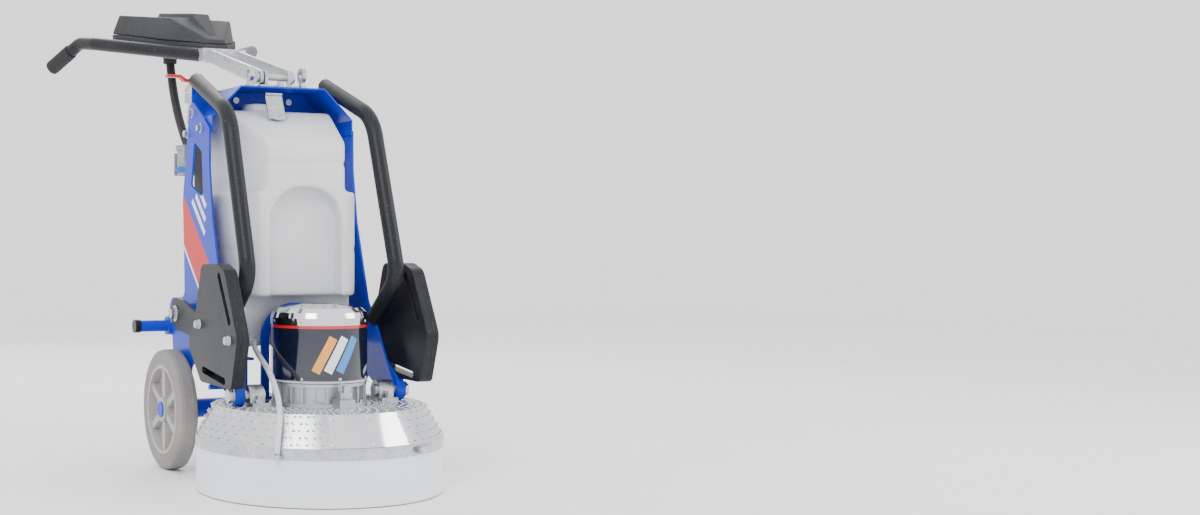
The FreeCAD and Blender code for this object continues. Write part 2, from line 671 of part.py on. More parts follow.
def frame_bolts():
    """Frame screws on both side plates, the weight pivots and the two screws behind."""
    bolts = []
    upper = [(329, 889), (267, 848), (362, 840)]
    lower = [(420, 395), (452, 372), (300, 320), (180, 280), (120, 278)]
    for y, z in upper + lower:
        outer = PLATE_X[1] + (8 if y < 200 else 0)
        washer = rod(12, (outer, y, z), (outer + 2, y, z))
        bolt = fuse([washer, hex_head(15, 9, (outer + 2, y, z), (1, 0, 0))])
        bolts += [bolt, mirrored(bolt)]
    y, z = WEIGHT_PIVOT
    start, end = WEIGHT_ARM_X[0] - 0.5, WEIGHT_ARM_X[1] + 0.5
    stub = rod(WEIGHT_PIVOT_R, (start, y, z), (end + 8, y, z))
    washer = rod(20, (end, y, z), (end + 3, y, z))
    nut = fuse([stub, washer, hex_head(24, 12, (end + 3, y, z), (1, 0, 0))])
    bolts += [nut, mirrored(nut)]
    for x in (-72, 72):
        bolts.append(hex_head(17, 8, (x, REAR_PANEL_Y[1], 926), (0, 1, 0)))
        bolts.append(rod(8, (x, REAR_PANEL_Y[0] - 7, 926), (x, REAR_PANEL_Y[0], 926)))
    return group(bolts)


def valve_body():
    """Plated quarter-turn valve on its pipe."""
    x, y = VALVE
    parts = [
        disc(11, (868, 968), centre=(x, y)),
        disc(16, (940, 962), centre=(x, y)),
        disc(14, (868, 888), centre=(x, y)),
        disc(6, (968, 978), centre=(x, y)),
    ]
    outlet = rod(8, (x, y, 951), (x, y + 34, 951))
    parts += [outlet, hex_head(22, 11, (x, y + 19, 951), (0, 1, 0))]
    return fuse(parts)


def valve_lever():
    x, y = VALVE
    hub = ring(13, 6 + RUNNING_FIT, (x, y, 970.5), (x, y, 978))
    return fuse([hub, lever_blade(x, y)])


def lever_blade(x, y):
    """Lever blade that points outwards, raised at its end."""
    return front_prism([
        (x - 8, 971), (x - 22, 971), (x - 36, 981), (x - 68, 981), (x - 68, 988),
        (x - 33, 988), (x - 19, 978), (x - 8, 978)], (y - 10, y + 10))


# Handle

def tube_height(y):
    """Height of a handle tube's axis over its straight run."""
    return 1075 + (y - 640) * (1141 - 1075) / (1010 - 640)


def tube_offset(y):
    return 45 + (y - 640) * (244 - 45) / (1010 - 640)


def handle_points():
    return [(45, 640, 1075), (244, 1010, 1141), (266, 1085, 1151), (320, 1190, 1090)]


def handle_arms():
    """Two flat bars from the hinge to a cross block, and two straps under the console."""
    y, z = HINGE
    bars = []
    for side in (-1, 1):
        near, far = sorted((side * 36, side * 44))
        outline = [
            (y - 17, z - 19, 14), (y - 17, z + 14, 14), (610, 1088, 0), (640, 1092, 0),
            (640, 1054, 0), (610, 1053, 0), (y + 14, z - 17, 14)]
        bars.append(side_prism(outline, (near, far)))
    block = box((-62, 62), (604, 640), (1056, 1090))
    straps = []
    tubes = [handle_tube(), mirrored(handle_tube())]
    for strap_y in (760, 890):
        half, height = tube_offset(strap_y), tube_height(strap_y)
        strap = box((-half, half), (strap_y - 14, strap_y + 14), (height - 5, height + 1))
        straps.append(strap.cut(tubes[0]).cut(tubes[1]))
    bores = rod(HINGE_R + RUNNING_FIT, (-60, y, z), (60, y, z))
    return group([fuse(bars + [block]).cut(bores), *straps])


def handle_tube():
    return pipe(handle_points(), [0, 60, 45, 0], HANDLE_TUBE_R)


def hand_grip():
    """Ribbed rubber sleeve over the end of a handle tube."""
    points = handle_points()
    end, bend = V(*points[-1]), V(*points[-2])
    way = (end - bend).normalize()
    start = end - way * 88
    tip = end + way * 5
    sleeve = rod(HAND_GRIP_R, tuple(start), tuple(tip))
    rings = []
    for step in range(9):
        low = start + way * (6 + 9.5 * step)
        rings.append(rod(HAND_GRIP_R + 0.6, tuple(low), tuple(low + way * 5)))
    return fuse([sleeve] + rings).cut(handle_tube())


def console_tray():
    """Dark tray that fills the fork between the handle tubes."""
    y0, y1 = 662, CONSOLE_BACK_Y - 4
    nose, tail = tube_offset(y0) - 24, 188
    plan = [(-nose, y0), (nose, y0), (tail, y1 - 24), (tail, y1), (-tail, y1), (-tail, y1 - 24)]
    low, rim = 4, 30
    side = side_prism([
        (y0, tube_height(y0) + low), (y0, tube_height(y0) + rim), (y1, tube_height(y1) + rim),
        (y1, tube_height(y1) + low)], (-200, 200))
    return plan_prism(plan, (1060, 1220)).common(side)


def button_places():
    """Centres (x, z) of the stop, knob and start bores in the console's back."""
    return {"stop": (112, 1203), "knob": (0, 1206), "start": (-112, 1203)}


def console_hood():
    """Tapered hood with a raised middle; its back face is the control panel."""
    y0, y1 = 668.0, CONSOLE_BACK_Y
    low0, low1 = tube_height(y0) + 30.5, tube_height(y1) + 30.5

    def section(y, half_low, half_high, low, high):
        corners = [V(-half_low, y, low), V(half_low, y, low), V(half_high, y, high), V(-half_high, y, high)]
        return Part.makePolygon(corners + corners[:1])

    middle = 800.0
    low, half = tube_height(middle) + 30.5, tube_offset(middle) - 27
    shell = Part.makeLoft([
        section(y0, 30, 24, low0, low0 + 12), section(middle, half, half - 12, low, 1196),
        section(y1, 188, 167, low1, 1230)], True, True)
    hump = Part.makeLoft([
        section(y0 + 30, 16, 10, low0 + 8, low0 + 30), section(middle, 38, 28, low + 6, 1212),
        section(y1, 62, 44, low1 + 6, 1243)], True, True)
    hood = fuse([shell, hump])
    holes = []
    for (x, z), radius in zip(button_places().values(), (10.5, KNOB_SHAFT_R + RUNNING_FIT, 12.5)):
        holes.append(rod(radius, (x, y1 - 34, z), (x, y1 + 1, z)))
    bezel = front_prism([(-150, 1178), (-150, 1188), (150, 1188), (150, 1178)], (y1, y1 + 2))
    return fuse([hood, bezel]).cut(Part.makeCompound(holes))


def cable_gland():
    x, y, z = CABLE_ROUTE[0]
    top = tube_height(y - 22) + 3.8
    mouth = ring(20, CABLE_R + 4, (x, y, z - 12), (x, y, z + 3))
    body = disc(20, (z + 2.1, top), centre=(x, y))
    return fuse([mouth, body, hex_head(38, 14, (x, y, z + 6), (0, 0, 1))])


def emergency_stop():
    x, z = button_places()["stop"]
    y = CONSOLE_BACK_Y
    stem = rod(10, (x, y - 20, z), (x, y + 12, z))
    cap = turned_profile([(0, 12), (18, 12), (21, 16), (21, 24), (16, 29), (0, 31)])
    cap.rotate(V(0, 0, 0), X_AXIS, -90)
    cap.translate(V(x, y, z))
    return fuse([stem, cap])


def speed_knob():
    x, z = button_places()["knob"]
    y = CONSOLE_BACK_Y
    shaft = rod(KNOB_SHAFT_R, (x, y - 20, z), (x, y + 4, z))
    parts = [shaft, rod(17, (x, y + 2.5, z), (x, y + 20, z))]
    for step in range(12):
        rib = rod(1.6, (x + 17, y + 3, z), (x + 17, y + 18, z))
        parts.append(turned(rib, 30 * step, V(x, y, z), Y_AXIS))
    parts.append(box((x - 1.2, x + 1.2), (y + 19, y + 21), (z, z + 16)))
    return fuse(parts)


def start_button():
    x, z = button_places()["start"]
    y = CONSOLE_BACK_Y
    return rod(12, (x, y - 20, z), (x, y + 9, z))


# Weights and wheels

def weight_outline():
    return [
        (105, 519, 24), (5, 521, 40), (-42, 505, 34), (-118, 356, 40), (-82, 244, 16), (110, 246, 30),
        (200, 332, 30), (150, 388, 30)]


def weight_slots(x):
    """The two long hand slots of a weight."""
    slots = []
    for start, end in (((-8, 494), (-71, 393)), ((92, 275), (-40, 259))):
        (y0, z0), (y1, z1) = start, end
        run = V(0, y1 - y0, z1 - z0)
        side = V(0, -run.z, run.y).normalize() * 8
        first, last = V(x[0], y0, z0), V(x[0], y1, z1)
        corners = [first + side, last + side, last - side, first - side]
        bar = Part.Face(Part.makePolygon(corners + corners[:1])).extrude(V(x[1] - x[0], 0, 0))
        slots += [bar, rod(8, (x[0], y0, z0), (x[1], y0, z0)), rod(8, (x[0], y1, z1), (x[1], y1, z1))]
    return Part.makeCompound(slots)


def weight_arm():
    """Innermost plate, with the ear that swings on the pivot."""
    x = WEIGHT_ARM_X
    outline = weight_outline()
    y, z = WEIGHT_PIVOT
    outline[6:7] = [(200, 340, 30), (328, 354, 20), (382, 372, 28), (372, 434, 30), (310, 430, 30)]
    plate = side_prism(outline, x)
    bore = rod(WEIGHT_PIVOT_R + RUNNING_FIT, (x[0] - 1, y, z), (x[1] + 1, y, z))
    return plate.cut(weight_slots((x[0] - 1, x[1] + 1))).cut(bore)


def weight_plates():
    """Two loose plates screwed to the arm."""
    low, high = WEIGHT_STACK_X
    middle = (low + high) / 2
    cutter = weight_slots((low - 1, high + 1))
    spans = ((low, middle - 0.3), (middle + 0.3, high))
    plates = [side_prism(weight_outline(), span).cut(cutter) for span in spans]
    screws = []
    for y, z in ((116, 379), (-73, 352)):
        screw = fuse([rod(11, (low, y, z), (high + 3, y, z)), hex_head(16, 9, (high + 3, y, z), (1, 0, 0))])
        screws.append(screw)
    return fuse(plates + screws)


def tyre():
    low, high = WHEEL_X
    return turned_profile([
        (RIM_R, low), (WHEEL_R - 8, low), (WHEEL_R - 2, low + 4), (WHEEL_R, low + 12), (WHEEL_R, high - 12),
        (WHEEL_R - 2, high - 4), (WHEEL_R - 8, high), (RIM_R, high)], axis=X_AXIS)


def rim():
    """Cast rim with six spokes, hub bore and a cap over the axle's end."""
    low, high = WHEEL_X
    parts = [
        turned_profile([(RIM_R - 8, low), (RIM_R, low), (RIM_R, high), (RIM_R - 8, high)], axis=X_AXIS),
        rod(30, (low, 0, 0), (high, 0, 0)),
        rod(19, (high, 0, 0), (high + 4, 0, 0)),
        rod(RIM_R - 4, (low + 20, 0, 0), (low + 23, 0, 0)),
    ]
    for step in range(6):
        spoke = box((low + 8, high - 6), (-9, 9), (26, RIM_R - 4))
        parts.append(turned(spoke, 60 * step, axis=X_AXIS))
    holes = []
    for step in range(6):
        holes.append(turned(rod(21, (low, 0, 68), (high, 0, 68)), 60 * step + 30, axis=X_AXIS))
    bore = rod(AXLE_R + RUNNING_FIT, (low - 1, 0, 0), (high - 5, 0, 0))
    return fuse(parts).cut(Part.makeCompound(holes)).cut(bore)


def placed(shape, y, z):
    copy = shape.copy()
    copy.translate(V(0, y, z))
    return copy


def build():
    nodes = {
        "skirt": skirt(),
        "cover_band": cover_band(),
        "head_cover": head_cover(),
        "front_panel": front_panel(),
        "gear_case": gear_case(),
        "motor_housing": motor_housing(),
        "motor_cowl": motor_cowl(),
        "fan_cover": fan_cover(),
        "motor_guard": motor_guard(),
        "vacuum_port": vacuum_port(),
        "motor_rotor": motor_rotor(),
        "carrier_plate": carrier_plate(),
        "top_cover": top_cover(),
        "axle_tube": axle_tube(),
        "rear_bar": rear_bar(),
        "water_tank": water_tank(),
        "tank_latch": tank_latch(),
        "electric_box": electric_box(),
        "power_inlet": power_inlet(),
        "lifting_eyes": lifting_eyes(),
        "frame_brackets": frame_brackets(),
        "frame_bolts": frame_bolts(),
        "valve_body": valve_body(),
        "valve_lever": valve_lever(),
        "handle_arms": handle_arms(),
        "console_tray": console_tray(),
        "console_hood": console_hood(),
        "cable_gland": cable_gland(),
        "emergency_stop": emergency_stop(),
        "speed_knob": speed_knob(),
        "start_button": start_button(),
        "control_cable": cord("control_cable", CABLE_ROUTE, CABLE_R),
        "water_hose": cord("water_hose", HOSE_ROUTE, HOSE_R),
    }
    for number in range(TOOL_COUNT):
        angle = 360 * number / TOOL_COUNT
        pieces = {"spindle": spindle(), "tool_plate": tool_plate(), "tool_shoes": tool_shoes()}
        for name, shape in pieces.items():
            shape.translate(V(TOOL_CIRCLE_R, 0, 0))
            nodes[f"{name}_{number + 1}"] = turned(shape, angle)
    pairs = {
        "side_plate": side_plate(),
        "grip_bar": grip_bar(),
        "trunnion": trunnion(),
        "weight_arm": weight_arm(),
        "weight_plates": weight_plates(),
        "tyre": placed(tyre(), *AXLE),
        "rim": placed(rim(), *AXLE),
        "handle_tube": handle_tube(),
        "hand_grip": hand_grip(),
    }
    for name, shape in pairs.items():
        nodes[f"{name}_right"] = shape
        nodes[f"{name}_left"] = mirrored(shape)
    return nodes


def main():
    os.makedirs("parts", exist_ok=True)
    low, high = 1e9, -1e9
    for name, shape in build().items():
        shape.translate(V(0, HEAD_Y, 0))
        low, high = min(low, shape.BoundBox.YMin), max(high, shape.BoundBox.YMax)
        if not shape.isValid() or not shape.Solids:
            print("bad shape:", name)
        shape.exportStep(f"parts/{name}.step")
    print(f"y from {low:.2f} to {high:.2f}")


main()
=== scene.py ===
import json
import math

import bmesh
import bpy
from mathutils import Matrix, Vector


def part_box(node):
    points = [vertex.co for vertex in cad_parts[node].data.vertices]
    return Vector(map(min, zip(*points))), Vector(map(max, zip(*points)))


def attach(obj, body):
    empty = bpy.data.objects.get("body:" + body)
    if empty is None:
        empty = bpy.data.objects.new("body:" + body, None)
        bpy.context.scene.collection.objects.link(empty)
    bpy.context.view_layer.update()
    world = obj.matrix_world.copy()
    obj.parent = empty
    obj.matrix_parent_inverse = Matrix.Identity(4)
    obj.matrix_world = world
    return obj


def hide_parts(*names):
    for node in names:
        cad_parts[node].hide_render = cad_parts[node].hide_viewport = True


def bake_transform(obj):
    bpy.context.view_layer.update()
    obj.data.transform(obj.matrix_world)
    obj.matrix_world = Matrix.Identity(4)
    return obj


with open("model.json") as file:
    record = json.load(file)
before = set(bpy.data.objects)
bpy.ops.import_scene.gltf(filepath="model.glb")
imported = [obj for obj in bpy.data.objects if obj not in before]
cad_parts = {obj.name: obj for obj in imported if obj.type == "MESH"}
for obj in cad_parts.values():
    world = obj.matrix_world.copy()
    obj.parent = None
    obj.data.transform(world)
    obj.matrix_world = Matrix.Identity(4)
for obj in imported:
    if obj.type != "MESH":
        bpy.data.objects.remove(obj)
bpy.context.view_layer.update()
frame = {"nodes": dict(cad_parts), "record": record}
nodes = frame["nodes"]
scene = bpy.context.scene

skirtLow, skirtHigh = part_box("skirt")
headY = (skirtLow.y + skirtHigh.y) / 2      # the grinding head's own axis
print("frame loaded:", len(nodes), "nodes")


# Camera and cords

cameraSetting = {
    "place": (-1.463, -3.162, 0.573),   # measured from the foot of the head's axis
    "yaw": 22.0,
    "lens": 45.0,
    "shift": (0.296, -0.0138),
}

cableSetting = {
    "diameter": 0.025,
    "route": [(-0.032, 0.960, 1.100), (-0.030, 0.945, 1.000), (-0.020, 0.848, 0.837),
              (0.0, 0.700, 0.690), (0.010, 0.560, 0.600), (0.010, 0.436, 0.600)],
}

hoseSetting = {
    "diameter": 0.013,
    "route": [(-0.105, 0.128, 0.334), (-0.132, 0.078, 0.329), (-0.144, 0.020, 0.312),
              (-0.146, -0.050, 0.280), (-0.158, -0.125, 0.237), (-0.176, -0.182, 0.200),
              (-0.192, -0.208, 0.161), (-0.201, -0.2205, 0.118)],
}


def fromHead(point):
    return Vector((point[0], point[1] + headY, point[2]))


def makeCamera(setting):
    data = bpy.data.cameras.new("camera")
    data.sensor_width = 36.0
    data.lens = setting["lens"]
    data.shift_x, data.shift_y = setting["shift"]
    camera = bpy.data.objects.new("camera", data)
    scene.collection.objects.link(camera)
    camera.location = fromHead(setting["place"])
    camera.rotation_euler = (math.radians(90), 0, -math.radians(setting["yaw"]))
    scene.camera = camera


def linked(name, mesh):
    piece = bpy.data.objects.new(name, mesh)
    scene.collection.objects.link(piece)
    return piece


def plainMesh(piece, name):
    # the evaluated object as a plain mesh
    depsgraph = bpy.context.evaluated_depsgraph_get()
    mesh = bpy.data.meshes.new_from_object(piece.evaluated_get(depsgraph), depsgraph=depsgraph)
    mesh.name = name
    return mesh


def makeCord(name, setting):
    # a round tube along one smooth spline; returns the piece and its centre line
    data = bpy.data.curves.new(name + "Line", "CURVE")
    data.dimensions = "3D"
    data.resolution_u = 12
    spline = data.splines.new("NURBS")
    spline.points.add(len(setting["route"]) - 1)
    for point, place in zip(spline.points, setting["route"]):
        point.co = (*fromHead(place), 1.0)
    spline.order_u = 3
    spline.use_endpoint_u = True
    line = linked(name + "Line", data)
    path = [tuple(v.co) for v in plainMesh(line, name + "Path").vertices]
    data.bevel_depth = setting["diameter"] / 2
    data.bevel_resolution = 5
    data.use_fill_caps = True
    piece = linked(name, plainMesh(line, name))
    bpy.data.objects.remove(line)
    piece.data.shade_smooth()
    return piece, path


makeCamera(cameraSetting)
cable, cablePath = makeCord("controlCable", cableSetting)
hose, hosePath = makeCord("waterHose", hoseSetting)
print("camera and cords made")


# Node helpers

def put(tree, kind, inputs=None, **settings):
    node = tree.nodes.new(kind)
    for key, value in settings.items():
        setattr(node, key, value)
    for key, value in (inputs or {}).items():
        if isinstance(value, bpy.types.NodeSocket):
            tree.links.new(value, node.inputs[key])
        else:
            node.inputs[key].default_value = value
    return node


def calc(tree, operation, first, second=0.0, clamp=False):
    node = put(tree, "ShaderNodeMath", {0: first, 1: second}, operation=operation, use_clamp=clamp)
    return node.outputs[0]


def mixColour(tree, amount, first, second):
    node = put(tree, "ShaderNodeMix", data_type="RGBA")
    for socket, value in ((node.inputs[0], amount), (node.inputs[6], first), (node.inputs[7], second)):
        if isinstance(value, bpy.types.NodeSocket):
            tree.links.new(value, socket)
        elif isinstance(value, (int, float)):
            socket.default_value = value
        else:
            socket.default_value = (*value, 1.0)
    return node.outputs[2]


def newGroup(name, inputs, outputs):
    group = bpy.data.node_groups.new(name, "ShaderNodeTree")
    for label, value in inputs.items():
        socket = group.interface.new_socket(label, in_out="INPUT", socket_type="NodeSocketFloat")
        socket.default_value = value
    for label, kind in outputs.items():
        group.interface.new_socket(label, in_out="OUTPUT", socket_type=kind)
    start = group.nodes.new("NodeGroupInput")
    end = group.nodes.new("NodeGroupOutput")
    return group, start.outputs, end.inputs


def useGroup(tree, group, **values):
    node = tree.nodes.new("ShaderNodeGroup")
    node.node_tree = group
    for label, value in values.items():
        node.inputs[label].default_value = value
    return node.outputs


# Shared effects

def makeGrain():
    # fine surface relief with a slower swell under it
    group, given, out = newGroup(
        "grain", {"scale": 400.0, "swell": 12.0}, {"height": "NodeSocketFloat"})
    place = put(group, "ShaderNodeTexCoord").outputs["Object"]
    fine = put(group, "ShaderNodeTexNoise", {
        "Vector": place, "Scale": given["scale"], "Detail": 3.0, "Roughness": 0.6}).outputs["Fac"]
    slow = put(group, "ShaderNodeTexNoise", {
        "Vector": place, "Scale": given["swell"], "Detail": 2.0}).outputs["Fac"]
    mixed = calc(group, "ADD", fine, calc(group, "MULTIPLY", slow, 1.5))
    group.links.new(mixed, out["height"])
    return group


def makeTouch():
    # patches where hands and dust have changed the surface
    group, given, out = newGroup(
        "touch", {"scale": 6.0, "contrast": 2.2},
        {"patch": "NodeSocketFloat", "speck": "NodeSocketFloat"})
    place = put(group, "ShaderNodeTexCoord").outputs["Object"]
    cloud = put(group, "ShaderNodeTexNoise", {
        "Vector": place, "Scale": given["scale"], "Detail": 6.0, "Roughness": 0.62}).outputs["Fac"]
    centred = calc(group, "SUBTRACT", cloud, 0.5)
    patch = calc(group, "ADD", calc(group, "MULTIPLY", centred, given["contrast"]), 0.5, clamp=True)
    dots = put(group, "ShaderNodeTexNoise", {
        "Vector": place, "Scale": 240.0, "Detail": 2.0}).outputs["Fac"]
    speck = put(group, "ShaderNodeMapRange", {
        "Value": dots, "From Min": 0.66, "From Max": 0.74}).outputs["Result"]
    group.links.new(patch, out["patch"])
    group.links.new(speck, out["speck"])
    return group


def makeEdge():
    # sharp edges, broken up by noise
    group, given, out = newGroup(
        "edge", {"width": 0.0016, "strength": 3.0}, {"mask": "NodeSocketFloat"})
    rounded = put(group, "ShaderNodeBevel", {"Radius": given["width"]}, samples=4).outputs["Normal"]
    flat = put(group, "ShaderNodeNewGeometry").outputs["Normal"]
    dot = put(group, "ShaderNodeVectorMath", {0: rounded, 1: flat},
              operation="DOT_PRODUCT").outputs["Value"]
    bend = calc(group, "MULTIPLY", calc(group, "SUBTRACT", 1.0, dot), given["strength"], clamp=True)
    place = put(group, "ShaderNodeTexCoord").outputs["Object"]
    breakUp = put(group, "ShaderNodeTexNoise", {
        "Vector": place, "Scale": 60.0, "Detail": 4.0}).outputs["Fac"]
    broken = put(group, "ShaderNodeMapRange", {
        "Value": breakUp, "From Min": 0.42, "From Max": 0.62}).outputs["Result"]
    group.links.new(calc(group, "MULTIPLY", bend, broken), out["mask"])
    return group


def makeScratches():
    # long fine lines along one axis, for brushed and rolled metal
    group, given, out = newGroup(
        "scratches", {"scaleX": 30.0, "scaleY": 30.0, "scaleZ": 900.0}, {"height": "NodeSocketFloat"})
    place = put(group, "ShaderNodeTexCoord").outputs["Object"]
    sizes = put(group, "ShaderNodeCombineXYZ", {
        0: given["scaleX"], 1: given["scaleY"], 2: given["scaleZ"]})
    drawn = put(group, "ShaderNodeVectorMath", {0: place, 1: sizes.outputs[0]},
                operation="MULTIPLY").outputs["Vector"]
    lines = put(group, "ShaderNodeTexNoise", {
        "Vector": drawn, "Scale": 1.0, "Detail": 3.0}).outputs["Fac"]
    group.links.new(lines, out["height"])
    return group


def makeSpangle():
    # the crystal flakes of galvanised steel
    group, given, out = newGroup("spangle", {"scale": 90.0}, {"tone": "NodeSocketFloat"})
    place = put(group, "ShaderNodeTexCoord").outputs["Object"]
    warp = put(group, "ShaderNodeTexNoise", {"Vector": place, "Scale": 40.0}).outputs["Color"]
    moved = mixColour(group, 0.03, place, warp)
    cells = put(group, "ShaderNodeTexVoronoi", {
        "Vector": moved, "Scale": given["scale"]}).outputs["Color"]
    tone = put(group, "ShaderNodeSeparateColor", {0: cells}).outputs[0]
    group.links.new(tone, out["tone"])
    return group


effects = {
    "grain": makeGrain(),
    "touch": makeTouch(),
    "edge": makeEdge(),
    "scratches": makeScratches(),
    "spangle": makeSpangle(),
}


# Materials

dust = {"paint": (0.55, 0.54, 0.52), "plastic": (0.5, 0.49, 0.47)}


def newMaterial(name, metallic=0.0, coat=0.0, transmission=0.0, ior=1.5, shine=0.5):
    material = bpy.data.materials.new(name)
    material.use_nodes = True
    tree = material.node_tree
    shader = tree.nodes["Principled BSDF"]
    shader.inputs["Metallic"].default_value = metallic
    shader.inputs["Coat Weight"].default_value = coat
    shader.inputs["Coat Roughness"].default_value = 0.08
    shader.inputs["Transmission Weight"].default_value = transmission
    shader.inputs["IOR"].default_value = ior
    shader.inputs["Specular IOR Level"].default_value = shine
    return material, tree, shader


def setBump(tree, shader, height, strength, distance):
    bump = put(tree, "ShaderNodeBump", {"Height": height, "Strength": strength, "Distance": distance})
    tree.links.new(bump.outputs["Normal"], shader.inputs["Normal"])


def setRoughness(tree, shader, patch, low, high):
    rough = put(tree, "ShaderNodeMapRange", {
        "Value": patch, "To Min": low, "To Max": high}).outputs["Result"]
    tree.links.new(rough, shader.inputs["Roughness"])


def paintLook(name, look, decorate=None):
    # sprayed or powder-coated metal, with worn edges and faint orange peel
    material, tree, shader = newMaterial(name, coat=look["coat"], shine=look.get("shine", 0.5))
    touch = useGroup(tree, effects["touch"], scale=look["patchScale"])
    colour = mixColour(tree, touch["patch"], look["dark"], look["light"])
    if decorate:
        colour = decorate(tree, colour)
    edge = useGroup(tree, effects["edge"], strength=look["wear"])
    colour = mixColour(tree, edge["mask"], colour, look["edge"])
    colour = mixColour(tree, calc(tree, "MULTIPLY", touch["speck"], look["dust"]), colour, dust["paint"])
    tree.links.new(colour, shader.inputs["Base Color"])
    setRoughness(tree, shader, touch["patch"], *look["rough"])
    grain = useGroup(tree, effects["grain"], scale=look["grainScale"])
    setBump(tree, shader, grain["height"], look["bump"], 0.0006)
    return material


def plasticLook(name, look, decorate=None):
    coat, shine = look.get("coat", 0.0), look.get("shine", 0.5)
    material, tree, shader = newMaterial(name, coat=coat, shine=shine)
    touch = useGroup(tree, effects["touch"], scale=look["patchScale"])
    colour = mixColour(tree, touch["patch"], look["dark"], look["light"])
    if decorate:
        colour = decorate(tree, colour)
    colour = mixColour(tree, calc(tree, "MULTIPLY", touch["speck"], look["dust"]), colour, dust["plastic"])
    tree.links.new(colour, shader.inputs["Base Color"])
    setRoughness(tree, shader, touch["patch"], *look["rough"])
    grain = useGroup(tree, effects["grain"], scale=look["grainScale"])
    setBump(tree, shader, grain["height"], look["bump"], look["depth"])
    return material


def metalLook(name, look):
    material, tree, shader = newMaterial(name, metallic=1.0)
    touch = useGroup(tree, effects["touch"], scale=look["patchScale"])
    tone = touch["patch"]
    if look["spangle"]:
        flakes = useGroup(tree, effects["spangle"], scale=look["spangle"])
        tone = calc(tree, "ADD", calc(tree, "MULTIPLY", flakes["tone"], 0.6),
                     calc(tree, "MULTIPLY", touch["patch"], 0.4))
    colour = mixColour(tree, tone, look["dark"], look["light"])
    tree.links.new(colour, shader.inputs["Base Color"])
    setRoughness(tree, shader, tone, *look["rough"])
    lines = useGroup(tree, effects["scratches"], scaleX=look["lines"][0], scaleY=look["lines"][1],
                     scaleZ=look["lines"][2])
    setBump(tree, shader, lines["height"], look["bump"], 0.0003)
    return material


